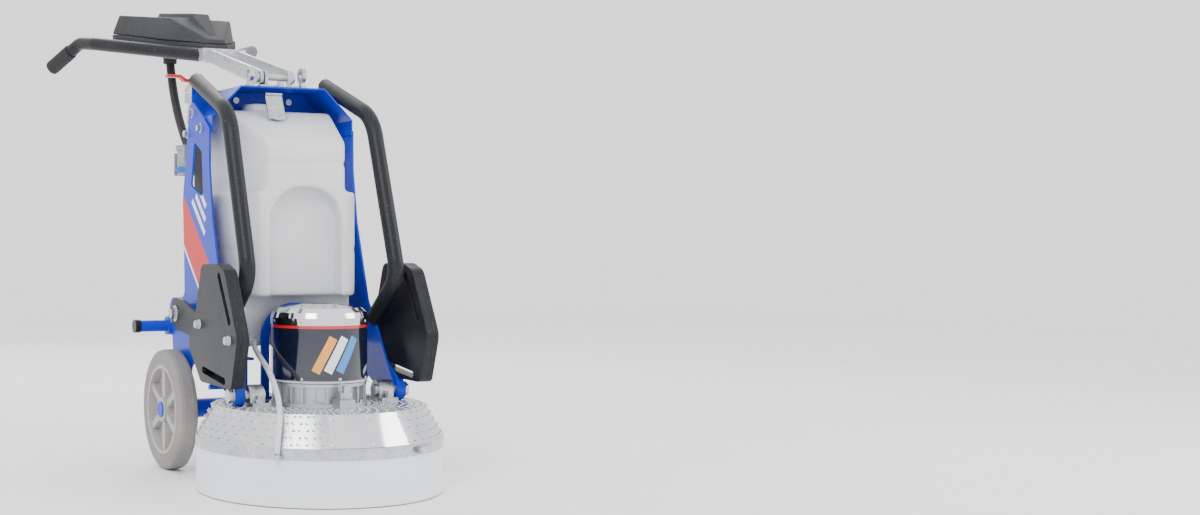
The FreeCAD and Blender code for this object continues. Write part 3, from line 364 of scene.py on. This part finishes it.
looks = {
    "bluePaint": {
        "dark": (0.004, 0.026, 0.42), "light": (0.007, 0.042, 0.58), "edge": (0.06, 0.16, 0.66),
        "coat": 0.08, "shine": 0.18, "patchScale": 5.0, "wear": 1.6, "dust": 0.1, "rough": (0.26, 0.38),
        "grainScale": 700.0, "bump": 0.1},
    "blackCoat": {
        "dark": (0.009, 0.01, 0.012), "light": (0.018, 0.02, 0.023), "edge": (0.1, 0.11, 0.13),
        "coat": 0.0, "shine": 0.2, "patchScale": 7.0, "wear": 1.8, "dust": 0.1, "rough": (0.3, 0.44),
        "grainScale": 900.0, "bump": 0.22},
    "shoeBlue": {
        "dark": (0.005, 0.1, 0.42), "light": (0.01, 0.16, 0.56), "edge": (0.3, 0.42, 0.55), "coat": 0.2,
        "patchScale": 20.0, "wear": 3.0, "dust": 0.3, "rough": (0.32, 0.5), "grainScale": 600.0,
        "bump": 0.2},
    "zinc": {
        "dark": (0.42, 0.43, 0.44), "light": (0.66, 0.67, 0.68), "patchScale": 9.0, "spangle": 110.0,
        "rough": (0.24, 0.42), "lines": (40.0, 40.0, 500.0), "bump": 0.1},
    "steel": {
        "dark": (0.4, 0.41, 0.42), "light": (0.58, 0.59, 0.6), "patchScale": 14.0, "spangle": 0.0,
        "rough": (0.22, 0.36), "lines": (500.0, 40.0, 40.0), "bump": 0.16},
    "treadPlate": {
        "dark": (0.52, 0.54, 0.55), "light": (0.74, 0.75, 0.76), "patchScale": 10.0, "spangle": 0.0,
        "rough": (0.16, 0.3), "lines": (60.0, 60.0, 700.0), "bump": 0.1},
    "chrome": {
        "dark": (0.66, 0.67, 0.69), "light": (0.8, 0.81, 0.83), "patchScale": 6.0, "spangle": 0.0,
        "rough": (0.06, 0.15), "lines": (30.0, 30.0, 400.0), "bump": 0.03},
    "castAlloy": {
        "dark": (0.42, 0.43, 0.44), "light": (0.6, 0.61, 0.62), "patchScale": 16.0, "spangle": 0.0,
        "rough": (0.34, 0.5), "lines": (420.0, 420.0, 420.0), "bump": 0.3},
    "nickel": {
        "dark": (0.5, 0.48, 0.44), "light": (0.7, 0.68, 0.63), "patchScale": 30.0, "spangle": 0.0,
        "rough": (0.2, 0.34), "lines": (60.0, 60.0, 500.0), "bump": 0.12},
    "whiteSkirt": {
        "dark": (0.76, 0.79, 0.82), "light": (0.86, 0.88, 0.9), "patchScale": 4.0, "dust": 0.1,
        "rough": (0.36, 0.52), "grainScale": 260.0, "bump": 0.12, "depth": 0.0006},
    "tankPlastic": {
        "dark": (0.62, 0.63, 0.64), "light": (0.74, 0.75, 0.76), "patchScale": 5.0, "dust": 0.1,
        "rough": (0.4, 0.56), "grainScale": 190.0, "bump": 0.16, "depth": 0.001},
    "consolePlastic": {
        "dark": (0.03, 0.031, 0.034), "light": (0.052, 0.053, 0.056), "patchScale": 6.0, "shine": 0.2,
        "dust": 0.2, "rough": (0.5, 0.66), "grainScale": 520.0, "bump": 0.35, "depth": 0.0008},
    "gripRubber": {
        "dark": (0.01, 0.01, 0.011), "light": (0.022, 0.022, 0.024), "patchScale": 18.0, "dust": 0.2,
        "rough": (0.62, 0.82), "grainScale": 800.0, "bump": 0.35, "depth": 0.0006},
    "tyreRubber": {
        "dark": (0.2, 0.19, 0.18), "light": (0.29, 0.28, 0.265), "patchScale": 12.0, "dust": 0.35,
        "rough": (0.66, 0.84), "grainScale": 420.0, "bump": 0.3, "depth": 0.001},
    "rimPlastic": {
        "dark": (0.33, 0.32, 0.31), "light": (0.44, 0.43, 0.415), "patchScale": 10.0, "dust": 0.2,
        "rough": (0.42, 0.58), "grainScale": 380.0, "bump": 0.16, "depth": 0.0006},
    "cowlGloss": {
        "dark": (0.004, 0.006, 0.018), "light": (0.008, 0.012, 0.034), "patchScale": 5.0, "dust": 0.06,
        "rough": (0.08, 0.16), "grainScale": 200.0, "bump": 0.02, "depth": 0.0003, "coat": 0.8},
    "redPlastic": {
        "dark": (0.42, 0.006, 0.008), "light": (0.58, 0.012, 0.014), "patchScale": 20.0, "dust": 0.1,
        "rough": (0.24, 0.36), "grainScale": 500.0, "bump": 0.08, "depth": 0.0004},
    "greenPlastic": {
        "dark": (0.01, 0.22, 0.045), "light": (0.02, 0.32, 0.07), "patchScale": 20.0, "dust": 0.1,
        "rough": (0.24, 0.36), "grainScale": 500.0, "bump": 0.08, "depth": 0.0004},
    "inletPlastic": {
        "dark": (0.22, 0.23, 0.24), "light": (0.32, 0.33, 0.34), "patchScale": 20.0, "dust": 0.15,
        "rough": (0.4, 0.55), "grainScale": 500.0, "bump": 0.15, "depth": 0.0005},
    "cableRubber": {
        "dark": (0.01, 0.01, 0.011), "light": (0.02, 0.02, 0.022), "patchScale": 14.0, "dust": 0.25,
        "rough": (0.46, 0.62), "grainScale": 700.0, "bump": 0.18, "depth": 0.0004},
}


def objectAxes(tree):
    place = put(tree, "ShaderNodeTexCoord").outputs["Object"]
    return put(tree, "ShaderNodeSeparateXYZ", {0: place}).outputs


def inside(tree, value, middle, half):
    # 1 where value lies within half of middle
    distance = calc(tree, "ABSOLUTE", calc(tree, "SUBTRACT", value, middle))
    return calc(tree, "LESS_THAN", distance, half)


def slantedBar(tree, across, up, centre, degrees, half):
    # a rectangle turned in the plane of two coordinates
    turn = math.radians(degrees)
    dx = calc(tree, "SUBTRACT", across, centre[0])
    dz = calc(tree, "SUBTRACT", up, centre[1])
    cosine, sine = math.cos(turn), math.sin(turn)
    along = calc(tree, "ADD", calc(tree, "MULTIPLY", dx, cosine), calc(tree, "MULTIPLY", dz, sine))
    aside = calc(tree, "SUBTRACT", calc(tree, "MULTIPLY", dz, cosine), calc(tree, "MULTIPLY", dx, sine))
    return calc(tree, "MULTIPLY", inside(tree, along, 0.0, half[0]), inside(tree, aside, 0.0, half[1]))


markEdges = {
    "plateFace": 0.1924,        # distance from the middle plane, outer faces only
    "weightFace": 0.2523,
    "segmentTop": 0.0118,
    "barCapStart": 0.2738,
    "hubCapRadius": 0.0192,
    "collar": (0.756, 0.0063),  # middle height and half height
}

plateMarks = {
    "white": (0.80, 0.82, 0.85),
    "red": (0.62, 0.010, 0.014),
    "redBar": ((0.300, 0.543), 43.0, (0.165, 0.043)),
    "whiteLine": ((0.318, 0.492), 43.0, (0.170, 0.004)),
    "bars": [((0.285, 0.632), 43.0, (0.060, 0.007)), ((0.270, 0.654), 43.0, (0.045, 0.007)),
             ((0.255, 0.676), 43.0, (0.030, 0.007))],
}


def plateDecals(tree, colour):
    # red band, white line and three plain bars on the outer face of each side plate
    axes = objectAxes(tree)
    outer = calc(tree, "GREATER_THAN", calc(tree, "ABSOLUTE", axes["X"]), markEdges["plateFace"])
    across = calc(tree, "SUBTRACT", axes["Y"], headY)
    red = slantedBar(tree, across, axes["Z"], *plateMarks["redBar"])
    colour = mixColour(tree, calc(tree, "MULTIPLY", red, outer), colour, plateMarks["red"])
    for bar in [plateMarks["whiteLine"], *plateMarks["bars"]]:
        white = slantedBar(tree, across, axes["Z"], *bar)
        colour = mixColour(tree, calc(tree, "MULTIPLY", white, outer), colour, plateMarks["white"])
    return colour


cowlMarks = {
    "towards": -90.0 - 4.0,      # the marks face the front
    "radius": 0.112,
    "bars": [((-0.028, 0.316), 62.0, (0.044, 0.010), (0.85, 0.33, 0.03)),
             ((0.000, 0.316), 62.0, (0.044, 0.010), (0.80, 0.82, 0.85)),
             ((0.028, 0.316), 62.0, (0.044, 0.010), (0.03, 0.22, 0.62))],
    "red": (0.60, 0.012, 0.015),
    "redLine": (0.3785, 0.0035),
    "silver": (0.55, 0.56, 0.58),
    "silverLine": (0.2545, 0.0025),
}


def cowlDecals(tree, colour):
    # three slanted bars and two lines round the motor's cowl
    axes = objectAxes(tree)
    y = calc(tree, "SUBTRACT", axes["Y"], headY)
    turn = math.radians(cowlMarks["towards"])
    # arc length from the mark's middle, from the angle about the head's axis
    sideways = calc(tree, "SUBTRACT", calc(tree, "MULTIPLY", y, math.cos(turn)),
                     calc(tree, "MULTIPLY", axes["X"], math.sin(turn)))
    ahead = calc(tree, "ADD", calc(tree, "MULTIPLY", axes["X"], math.cos(turn)),
                  calc(tree, "MULTIPLY", y, math.sin(turn)))
    arc = calc(tree, "MULTIPLY", calc(tree, "ARCTAN2", sideways, ahead), cowlMarks["radius"])
    for centre, degrees, half, paint in cowlMarks["bars"]:
        colour = mixColour(tree, slantedBar(tree, arc, axes["Z"], centre, degrees, half), colour, paint)
    colour = mixColour(tree, inside(tree, axes["Z"], *cowlMarks["redLine"]), colour, cowlMarks["red"])
    return mixColour(tree, inside(tree, axes["Z"], *cowlMarks["silverLine"]), colour, cowlMarks["silver"])


def segmentTips(tree, colour):
    # bare diamond segments below the painted shoes
    axes = objectAxes(tree)
    bare = calc(tree, "LESS_THAN", axes["Z"], markEdges["segmentTop"])
    return mixColour(tree, bare, colour, (0.20, 0.20, 0.19))


def screwHeads(tree, colour):
    # plated screws that stand out of a weight's outer plate
    axes = objectAxes(tree)
    proud = calc(tree, "GREATER_THAN", calc(tree, "ABSOLUTE", axes["X"]), markEdges["weightFace"])
    return mixColour(tree, proud, colour, (0.50, 0.51, 0.52))


def barCaps(tree, colour):
    # black end caps on the rear bar
    axes = objectAxes(tree)
    ends = calc(tree, "GREATER_THAN", calc(tree, "ABSOLUTE", axes["X"]), markEdges["barCapStart"])
    return mixColour(tree, ends, colour, (0.012, 0.012, 0.013))


def hubCap(tree, colour):
    # blue cap over the axle's end
    axes = objectAxes(tree)
    dy = calc(tree, "SUBTRACT", axes["Y"], wheelCentre.y)
    dz = calc(tree, "SUBTRACT", axes["Z"], wheelCentre.z)
    squares = calc(tree, "ADD", calc(tree, "MULTIPLY", dy, dy), calc(tree, "MULTIPLY", dz, dz))
    cap = calc(tree, "LESS_THAN", calc(tree, "SQRT", squares), markEdges["hubCapRadius"])
    return mixColour(tree, cap, colour, (0.008, 0.06, 0.48))


def blueCollar(tree, colour):
    # the inlet's blue locking ring
    axes = objectAxes(tree)
    return mixColour(tree, inside(tree, axes["Z"], *markEdges["collar"]), colour, (0.01, 0.10, 0.50))


tyreLow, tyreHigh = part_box("tyre_left")
wheelCentre = (tyreLow + tyreHigh) / 2


def clearHoseLook():
    # milky tube with water inside
    material, tree, shader = newMaterial("hoseClear", transmission=0.15, ior=1.4)
    touch = useGroup(tree, effects["touch"], scale=22.0)
    colour = mixColour(tree, touch["patch"], (0.66, 0.67, 0.76), (0.82, 0.82, 0.88))
    tree.links.new(colour, shader.inputs["Base Color"])
    setRoughness(tree, shader, touch["patch"], 0.16, 0.3)
    grain = useGroup(tree, effects["grain"], scale=300.0)
    setBump(tree, shader, grain["height"], 0.1, 0.0004)
    return material


materials = {
    "blue_paint": paintLook("bluePaint", looks["bluePaint"]),
    "platePaint": paintLook("platePaint", looks["bluePaint"], plateDecals),
    "rearBarPaint": paintLook("rearBarPaint", looks["bluePaint"], barCaps),
    "weightCoat": paintLook("weightCoat", looks["blackCoat"], screwHeads),
    "black_coat": paintLook("blackCoat", looks["blackCoat"]),
    "shoe_blue": paintLook("shoeBlue", looks["shoeBlue"], segmentTips),
    "zinc": metalLook("zinc", looks["zinc"]),
    "steel": metalLook("steel", looks["steel"]),
    "tread_plate": metalLook("treadPlate", looks["treadPlate"]),
    "chrome": metalLook("chrome", looks["chrome"]),
    "cast_alloy": metalLook("castAlloy", looks["castAlloy"]),
    "nickel": metalLook("nickel", looks["nickel"]),
    "white_skirt": plasticLook("whiteSkirt", looks["whiteSkirt"]),
    "tank_plastic": plasticLook("tankPlastic", looks["tankPlastic"]),
    "console_plastic": plasticLook("consolePlastic", looks["consolePlastic"]),
    "grip_rubber": plasticLook("gripRubber", looks["gripRubber"]),
    "tyre_rubber": plasticLook("tyreRubber", looks["tyreRubber"]),
    "rim_plastic": plasticLook("rimPlastic", looks["rimPlastic"], hubCap),
    "cowl_gloss": plasticLook("cowlGloss", looks["cowlGloss"], cowlDecals),
    "red_plastic": plasticLook("redPlastic", looks["redPlastic"]),
    "green_plastic": plasticLook("greenPlastic", looks["greenPlastic"]),
    "inlet_plastic": plasticLook("inletPlastic", looks["inletPlastic"], blueCollar),
    "cable_rubber": plasticLook("cableRubber", looks["cableRubber"]),
    "hose_clear": clearHoseLook(),
}

special = {
    "side_plate_left": "platePaint",
    "side_plate_right": "platePaint",
    "rear_bar": "rearBarPaint",
    "weight_plates_left": "weightCoat",
    "weight_plates_right": "weightCoat",
}


def dress(piece, material):
    piece.data.materials.clear()
    piece.data.materials.append(material)


slotOf = {entry["node"]: entry["material_slot"] for entry in frame["record"]["subparts"]}
for nodeName, node in nodes.items():
    paint = materials[special.get(nodeName, slotOf[nodeName])]
    for place in node.material_slots:
        place.material = paint
print("materials made:", len(materials))


# Moulded pieces with rounded edges, made from the solids they stand for

softSetting = {
    "water_tank": {"piece": "tankShell", "body": "chassis", "voxel": 0.0042, "passes": 14},
    "console_hood": {"piece": "consoleHood", "body": "handle", "voxel": 0.0024, "passes": 7},
    "console_tray": {"piece": "consoleTray", "body": "handle", "voxel": 0.0026, "passes": 7},
}


def merged(nodeName, name):
    mesh = nodes[nodeName].data.copy()
    mesh.name = name
    work = bmesh.new()
    work.from_mesh(mesh)
    bmesh.ops.remove_doubles(work, verts=work.verts, dist=0.00002)
    work.to_mesh(mesh)
    work.free()
    return mesh


def softened(nodeName, setting):
    rough = linked(setting["piece"] + "Rough", merged(nodeName, setting["piece"]))
    remesh = rough.modifiers.new("remesh", "REMESH")
    remesh.mode = "VOXEL"
    remesh.voxel_size = setting["voxel"]
    smooth = rough.modifiers.new("smooth", "SMOOTH")
    smooth.factor = 0.5
    smooth.iterations = setting["passes"]
    piece = linked(setting["piece"], plainMesh(rough, setting["piece"]))
    bpy.data.objects.remove(rough)
    piece.data.shade_smooth()
    dress(piece, materials[slotOf[nodeName]])
    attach(piece, setting["body"])
    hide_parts(nodeName)
    return piece


for nodeName, setting in softSetting.items():
    softened(nodeName, setting)
print("moulded pieces made")


# Repeated pieces, made with geometry nodes

def newTree(name, inputs):
    tree = bpy.data.node_groups.new(name, "GeometryNodeTree")
    for label, (kind, value) in inputs.items():
        socket = tree.interface.new_socket(label, in_out="INPUT", socket_type=kind)
        socket.default_value = value
    tree.interface.new_socket("Geometry", in_out="OUTPUT", socket_type="NodeSocketGeometry")
    return tree, put(tree, "NodeGroupInput").outputs, put(tree, "NodeGroupOutput").inputs


def finishTree(tree, instances, out, material):
    real = put(tree, "GeometryNodeRealizeInstances", {0: instances}).outputs[0]
    smooth = put(tree, "GeometryNodeSetShadeSmooth", {"Geometry": real}).outputs[0]
    painted = put(tree, "GeometryNodeSetMaterial", {"Geometry": smooth, "Material": material}).outputs[0]
    tree.links.new(painted, out["Geometry"])


def treadTree(material):
    # lozenges in two crossed directions over a cone or a flat ring
    number, whole = "NodeSocketFloat", "NodeSocketInt"
    tree, given, out = newTree("treadLugs", {
        "rows": (whole, 5), "columns": (whole, 90),
        "lowRadius": (number, 0.28), "highRadius": (number, 0.24),
        "lowHeight": (number, 0.13), "highHeight": (number, 0.2),
        "firstAngle": (number, 0.0), "sweep": (number, 6.28),
        "lean": (number, 0.5), "length": (number, 0.009), "width": (number, 0.003),
        "proud": (number, 0.001)})
    grid = put(tree, "GeometryNodeMeshGrid", {
        "Size X": 1.0, "Size Y": 1.0,
        "Vertices X": given["columns"], "Vertices Y": given["rows"]}).outputs["Mesh"]
    position = put(tree, "GeometryNodeInputPosition").outputs[0]
    axes = put(tree, "ShaderNodeSeparateXYZ", {0: position}).outputs
    index = put(tree, "GeometryNodeInputIndex").outputs[0]
    row = calc(tree, "MODULO", index, given["rows"])
    column = calc(tree, "FLOOR", calc(tree, "DIVIDE", index, given["rows"]))
    odd = calc(tree, "MODULO", calc(tree, "ADD", row, column), 2.0)
    share = calc(tree, "ADD", axes["X"], 0.5)
    height = calc(tree, "ADD", axes["Y"], 0.5)
    angle = calc(tree, "ADD", given["firstAngle"], calc(tree, "MULTIPLY", share, given["sweep"]))
    radius = calc(tree, "ADD", given["lowRadius"], calc(
        tree, "MULTIPLY", height, calc(tree, "SUBTRACT", given["highRadius"], given["lowRadius"])))
    level = calc(tree, "ADD", given["lowHeight"], calc(
        tree, "MULTIPLY", height, calc(tree, "SUBTRACT", given["highHeight"], given["lowHeight"])))
    cosine, sine = calc(tree, "COSINE", angle), calc(tree, "SINE", angle)
    place = put(tree, "ShaderNodeCombineXYZ", {
        0: calc(tree, "MULTIPLY", radius, cosine), 1: calc(tree, "MULTIPLY", radius, sine),
        2: level}).outputs[0]
    laid = put(tree, "GeometryNodeSetPosition", {"Geometry": grid, "Position": place}).outputs[0]
    outwards = put(tree, "ShaderNodeCombineXYZ", {
        0: calc(tree, "MULTIPLY", cosine, calc(tree, "SINE", given["lean"])),
        1: calc(tree, "MULTIPLY", sine, calc(tree, "SINE", given["lean"])),
        2: calc(tree, "COSINE", given["lean"])}).outputs[0]
    turned = put(tree, "ShaderNodeCombineXYZ", {2: angle}).outputs[0]
    facing = put(tree, "FunctionNodeEulerToRotation", {0: turned}).outputs[0]
    aligned = put(tree, "FunctionNodeAlignRotationToVector", {"Rotation": facing, "Vector": outwards},
                  axis="Z").outputs[0]
    slant = calc(tree, "MULTIPLY", calc(tree, "SUBTRACT", odd, 0.5), math.radians(90))
    spin = put(tree, "FunctionNodeEulerToRotation", {
        0: put(tree, "ShaderNodeCombineXYZ", {2: slant}).outputs[0]}).outputs[0]
    rotation = put(tree, "FunctionNodeRotateRotation", {"Rotation": aligned, "Rotate By": spin},
                   rotation_space="LOCAL").outputs[0]
    ball = put(tree, "GeometryNodeMeshUVSphere", {"Segments": 8, "Rings": 4, "Radius": 1.0}).outputs[0]
    size = put(tree, "ShaderNodeCombineXYZ", {
        0: given["length"], 1: given["width"], 2: given["proud"]}).outputs[0]
    points = put(tree, "GeometryNodeMeshToPoints", {"Mesh": laid}).outputs[0]
    instances = put(tree, "GeometryNodeInstanceOnPoints", {
        "Points": points, "Instance": ball, "Rotation": rotation, "Scale": size}).outputs[0]
    finishTree(tree, instances, out, material)
    return tree


def studTree(material):
    # round-headed screws on an upright ring
    number, whole = "NodeSocketFloat", "NodeSocketInt"
    tree, given, out = newTree("studRing", {
        "count": (whole, 12), "radius": (number, 0.28), "height": (number, 0.12),
        "headRadius": (number, 0.004), "proud": (number, 0.0015), "firstAngle": (number, 0.0)})
    circle = put(tree, "GeometryNodeMeshCircle", {
        "Vertices": given["count"], "Radius": given["radius"]}).outputs[0]
    lift = put(tree, "ShaderNodeCombineXYZ", {2: given["height"]}).outputs[0]
    turn = put(tree, "ShaderNodeCombineXYZ", {2: given["firstAngle"]}).outputs[0]
    raised = put(tree, "GeometryNodeTransform", {
        "Geometry": circle, "Translation": lift, "Rotation": turn}).outputs[0]
    place = put(tree, "GeometryNodeInputPosition").outputs[0]
    flat = put(tree, "ShaderNodeVectorMath", {0: place, 1: (1.0, 1.0, 0.0)},
               operation="MULTIPLY").outputs["Vector"]
    rotation = put(tree, "FunctionNodeAlignRotationToVector", {"Vector": flat}, axis="Z").outputs[0]
    ball = put(tree, "GeometryNodeMeshUVSphere", {"Segments": 12, "Rings": 6, "Radius": 1.0}).outputs[0]
    size = put(tree, "ShaderNodeCombineXYZ", {
        0: given["headRadius"], 1: given["headRadius"], 2: given["proud"]}).outputs[0]
    instances = put(tree, "GeometryNodeInstanceOnPoints", {
        "Points": raised, "Instance": ball, "Rotation": rotation, "Scale": size}).outputs[0]
    finishTree(tree, instances, out, material)
    return tree


def grown(name, tree, values, body):
    # run a tree, keep the result as a plain mesh about the head's axis
    seedPiece = linked(name + "Seed", bpy.data.meshes.new(name + "Seed"))
    modifier = seedPiece.modifiers.new("grow", "NODES")
    modifier.node_group = tree
    sockets = {item.name: item.identifier for item in tree.interface.items_tree if item.in_out == "INPUT"}
    for label, value in values.items():
        modifier[sockets[label]] = value
    mesh = plainMesh(seedPiece, name)
    bpy.data.objects.remove(seedPiece)
    for vertex in mesh.vertices:
        vertex.co.y += headY
    piece = linked(name, mesh)
    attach(piece, body)
    return piece


coverLean = math.atan2(0.198 - 0.129, 0.283 - 0.243)   # slope of the cover's cone

treadPieces = {
    "coverTread": {
        "rows": 5, "columns": 92, "lowRadius": 0.2795, "highRadius": 0.2465, "lowHeight": 0.135,
        "highHeight": 0.192, "firstAngle": math.radians(-65.5), "sweep": math.radians(312),
        "lean": coverLean, "length": 0.0078, "width": 0.0023, "proud": 0.0015},
    "topTread": {
        "rows": 8, "columns": 94, "lowRadius": 0.238, "highRadius": 0.132, "lowHeight": 0.198,
        "highHeight": 0.198, "firstAngle": 0.0, "sweep": math.radians(357), "lean": 0.0,
        "length": 0.0074, "width": 0.0022, "proud": 0.0012},
}
tread = treadTree(materials["tread_plate"])
for name, values in treadPieces.items():
    grown(name, tread, values, "head")

studPieces = {
    "bandRivets": {"count": 36, "radius": 0.2864, "height": 0.1245, "headRadius": 0.0026, "proud": 0.0012,
                   "firstAngle": math.radians(5)},
    "cowlScrews": {"count": 8, "radius": 0.1139, "height": 0.261, "headRadius": 0.0042, "proud": 0.0016},
    "domeScrews": {"count": 8, "radius": 0.1129, "height": 0.390, "headRadius": 0.0036, "proud": 0.0015},
}
studs = studTree(materials["zinc"])
for name, values in studPieces.items():
    grown(name, studs, values, "head")
print("tread and studs made")


# Cords onto the machine

dress(cable, materials["cable_rubber"])
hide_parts("control_cable")
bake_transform(cable)

dress(hose, materials["hose_clear"])
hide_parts("water_hose")
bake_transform(hose)


# Floor, sky and lights

studio = {
    "floorColour": (0.92, 0.92, 0.925),
    "patchGain": 1.03,
    "floorSize": 14.0,
    "skyLow": (0.94, 0.945, 0.955),
    "skyHigh": (1.0, 1.0, 1.0),
    "skyFade": (-0.1, 0.7),             # heights where the low and the high colour begin
    "skyStrength": 1.7,
    "lights": [
        ("key", (-2.6, -3.0, 3.2), 1.8, 90.0),
        ("fill", (3.0, -2.2, 2.0), 1.6, 45.0),
        ("back", (0.5, 3.2, 3.0), 2.0, 60.0),
    ],
}


def makeFloor(setting):
    half = setting["floorSize"] / 2
    mesh = bpy.data.meshes.new("floor")
    corners = [(-half, -half, 0), (half, -half, 0), (half, half, 0), (-half, half, 0)]
    mesh.from_pydata(corners, [], [(0, 1, 2, 3)])
    floor = linked("floor", mesh)
    material, tree, shader = newMaterial("floorPaint")
    touch = useGroup(tree, effects["touch"], scale=1.5)
    lighter = [part * setting["patchGain"] for part in setting["floorColour"]]
    colour = mixColour(tree, touch["patch"], setting["floorColour"], lighter)
    tree.links.new(colour, shader.inputs["Base Color"])
    setRoughness(tree, shader, touch["patch"], 0.6, 0.75)
    dress(floor, material)


def makeSky(setting):
    world = bpy.data.worlds.new("studioSky")
    world.use_nodes = True
    tree = world.node_tree
    way = put(tree, "ShaderNodeTexCoord").outputs["Generated"]
    up = put(tree, "ShaderNodeSeparateXYZ", {0: way}).outputs["Z"]
    low, high = setting["skyFade"]
    share = put(tree, "ShaderNodeMapRange", {
        "Value": up, "From Min": low, "From Max": high}).outputs["Result"]
    colour = mixColour(tree, share, setting["skyLow"], setting["skyHigh"])
    background = tree.nodes["Background"]
    tree.links.new(colour, background.inputs["Color"])
    background.inputs["Strength"].default_value = setting["skyStrength"]
    scene.world = world


def makeLight(name, place, size, power):
    data = bpy.data.lights.new(name, "AREA")
    data.size = size
    data.energy = power
    light = bpy.data.objects.new(name, data)
    scene.collection.objects.link(light)
    light.location = place
    light.rotation_euler = (Vector((0, 0, 0.4)) - Vector(place)).to_track_quat("-Z", "Y").to_euler()


makeFloor(studio)
makeSky(studio)
for name, place, size, power in studio["lights"]:
    makeLight(name, place, size, power)
print("studio made")
